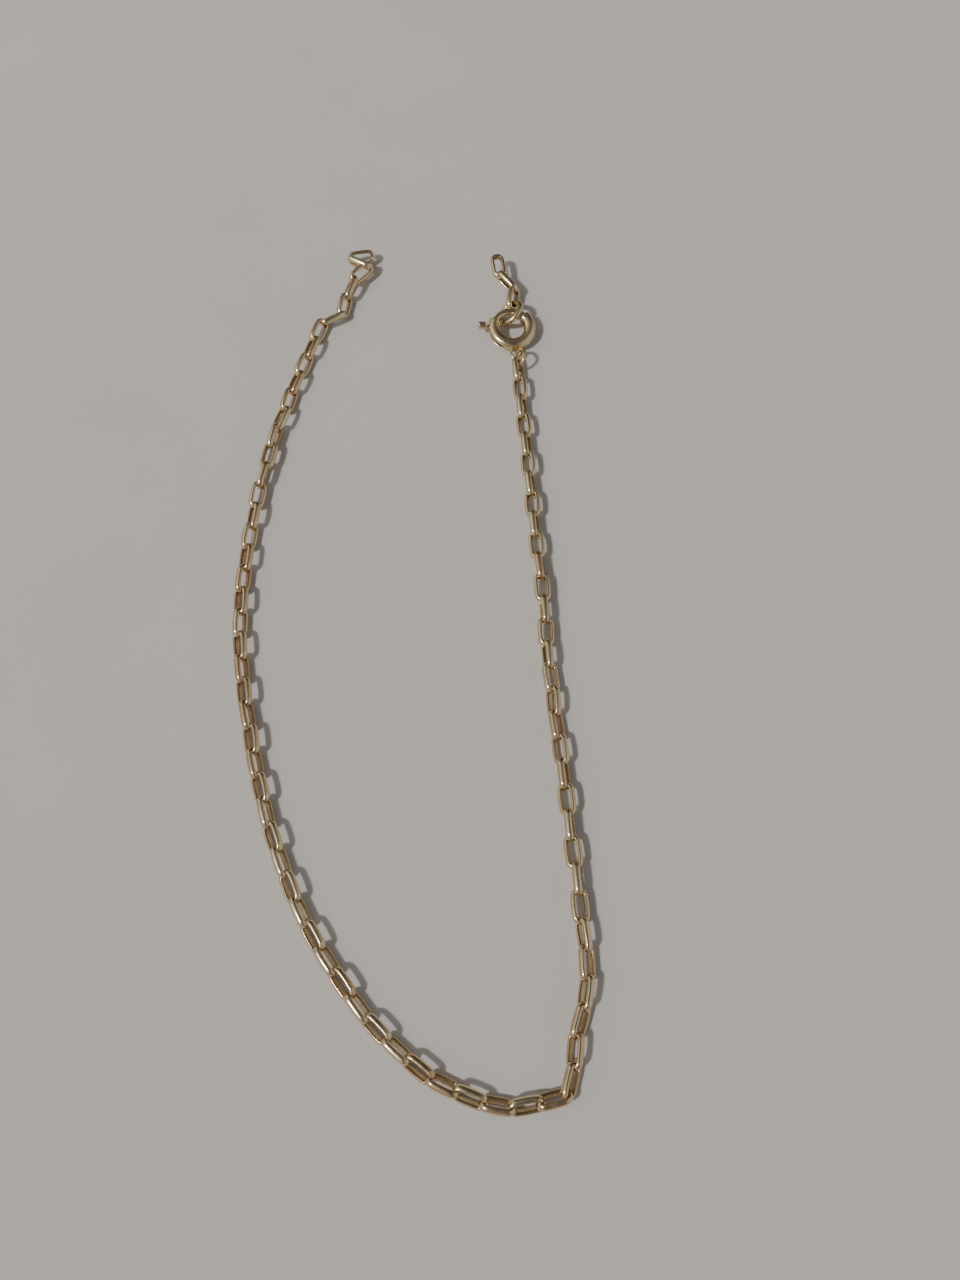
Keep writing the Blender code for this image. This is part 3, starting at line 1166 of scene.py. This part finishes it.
@dataclass(frozen=True)
class Studio:
    """The pale card, the window light from the front left, its plain room, and the camera. Sizes in mm."""

    card_size: float = 3000.0
    card_squares: int = 4
    window_run: tuple[float, float, float] = (0.77, 0.41, -1.0)
    window_strength: float = 2.05
    window_width: float = radians(6)
    curtain_place: tuple[float, float, float] = (-150.0, 110.0, 110.0)
    curtain_aim: tuple[float, float, float] = (-20.0, 30.0, 0.0)
    curtain_size: float = 120.0
    curtain_watts: float = 0.03
    # Each row is a place, from zero opposite the window to one at it, and the brightness there
    room_shades: tuple[tuple[float, float], ...] = (
        (0.0, 0.02),
        (0.45, 0.06),
        (0.7, 0.22),
        (0.88, 0.66),
        (1.0, 1.4),
    )
    room_strength: float = 0.6
    dark_overhead: RoomPatch = RoomPatch(
        towards=(0.1, -0.35, 1.0), edge_cosine=0.7, core_cosine=0.95, outside=1.0, inside=0.2
    )
    pale_wall: RoomPatch = RoomPatch(
        towards=(1.0, -0.15, 0.3), edge_cosine=0.5, core_cosine=0.95, outside=0.0, inside=0.85
    )
    camera_place: tuple[float, float, float] = (7.236, -39.281, 92.06)
    camera_elevation: float = radians(68.3)
    camera_near: float = 1.0
    focal_px: float = 1000.0
    photo_height_px: float = 1280.0

    def build(self) -> None:
        """Builds the card, the lights, the room and the camera."""
        self.card()
        self.window()
        self.curtain()
        self.room()
        self.camera()

    def card(self) -> None:
        """Lays the card under the bracelet."""
        bpy.ops.mesh.primitive_grid_add(
            x_subdivisions=self.card_squares, y_subdivisions=self.card_squares, size=self.card_size * MM
        )
        card = bpy.context.object
        card.name = "card"
        card.data.materials.append(UncoatedCard().build())

    @staticmethod
    def hang(light: bpy.types.Light, run: Vector, place: Vector) -> None:
        """Hangs a light so that it shines one way.

        Args:
            light: The light, whose name the lamp takes.
            run: Which way it shines.
            place: Where it hangs, in mm.
        """
        lamp = bpy.data.objects.new(light.name, light)
        lamp.location = place * MM
        lamp.rotation_mode = "QUATERNION"
        lamp.rotation_quaternion = run.to_track_quat("-Z", "Y")
        bpy.context.scene.collection.objects.link(lamp)

    def window(self) -> None:
        """Hangs the main light, far off and small, which casts the clear shadows."""
        window = bpy.data.lights.new("window_light", "SUN")
        window.energy = self.window_strength
        window.angle = self.window_width
        self.hang(window, Vector(self.window_run), Vector())

    def curtain(self) -> None:
        """Hangs a broad, weak light at the back left, whose glow fades across the card."""
        curtain = bpy.data.lights.new("curtain_light", "AREA")
        curtain.energy = self.curtain_watts
        curtain.size = self.curtain_size * MM
        place = Vector(self.curtain_place)
        self.hang(curtain, Vector(self.curtain_aim) - place, place)

    def room(self) -> None:
        """Makes a plain room: brightest round the window, dark overhead, and pale to the right."""
        world = bpy.data.worlds.new("plain_room")
        world.use_nodes = True
        tree = world.node_tree
        tree.nodes.clear()
        direction = add_node(tree, "ShaderNodeTexCoord").outputs["Generated"]
        to_window = (-Vector(self.window_run)).normalized()
        facing = add_node(
            tree, "ShaderNodeVectorMath", {"operation": "DOT_PRODUCT"}, {0: direction, 1: to_window}
        ).outputs["Value"]
        share = add_node(
            tree, "ShaderNodeMapRange", inputs={"Value": facing, "From Min": -1.0, "From Max": 1.0}
        ).outputs["Result"]
        ramp = add_node(tree, "ShaderNodeValToRGB", inputs={"Fac": share})
        shades = ramp.color_ramp.elements
        for position, _ in self.room_shades[1:-1]:
            shades.new(position)
        for shade, (position, value) in zip(shades, self.room_shades):
            shade.position = position
            shade.color = (value, value, value, 1.0)
        overhead = self.dark_overhead.build(tree, direction)
        shaded = add_node(
            tree,
            "ShaderNodeVectorMath",
            {"operation": "MULTIPLY"},
            {0: ramp.outputs["Color"], 1: overhead},
        ).outputs["Vector"]
        wall = self.pale_wall.build(tree, direction)
        walled = add_node(
            tree, "ShaderNodeVectorMath", {"operation": "ADD"}, {0: shaded, 1: wall}
        ).outputs["Vector"]
        background = add_node(
            tree, "ShaderNodeBackground", inputs={"Color": walled, "Strength": self.room_strength}
        ).outputs["Background"]
        add_node(tree, "ShaderNodeOutputWorld", inputs={"Surface": background})
        bpy.context.scene.world = world

    def camera(self) -> None:
        """Puts the camera where the photo was taken from."""
        data = bpy.data.cameras.new("camera")
        data.lens = self.focal_px / self.photo_height_px * data.sensor_width
        data.clip_start = self.camera_near * MM
        camera = bpy.data.objects.new("camera", data)
        camera.location = Vector(self.camera_place) * MM
        camera.rotation_euler = (pi / 2 - self.camera_elevation, 0, 0)
        bpy.context.scene.collection.objects.link(camera)
        bpy.context.scene.camera = camera


def main() -> None:
    """Builds the bracelet and its studio."""
    logging.basicConfig(level=logging.INFO, format="%(message)s")
    chain_gold = WornPolishedGold("chain_gold_worn", GoldTone.CHAIN).build()
    clasp_gold = WornPolishedGold("clasp_gold_worn", GoldTone.CLASP).build()
    layout = LinkLayout(OvalWireLink())
    BelcherChain(layout).build(chain_gold)
    circle = ClaspCircle()
    bolt_ring = BoltRingTube(circle)
    bolt_ring.build(clasp_gold)
    SlidingBolt(circle).build(clasp_gold)
    JumpRing().build(bolt_ring.eye_placing().translation, clasp_gold)
    catch_ring = CatchRing(circle)
    catch_ring.build(clasp_gold)
    LooseLinks(layout).build(catch_ring.seat(), chain_gold)
    Studio().build()


if __name__ == "__main__":
    main()
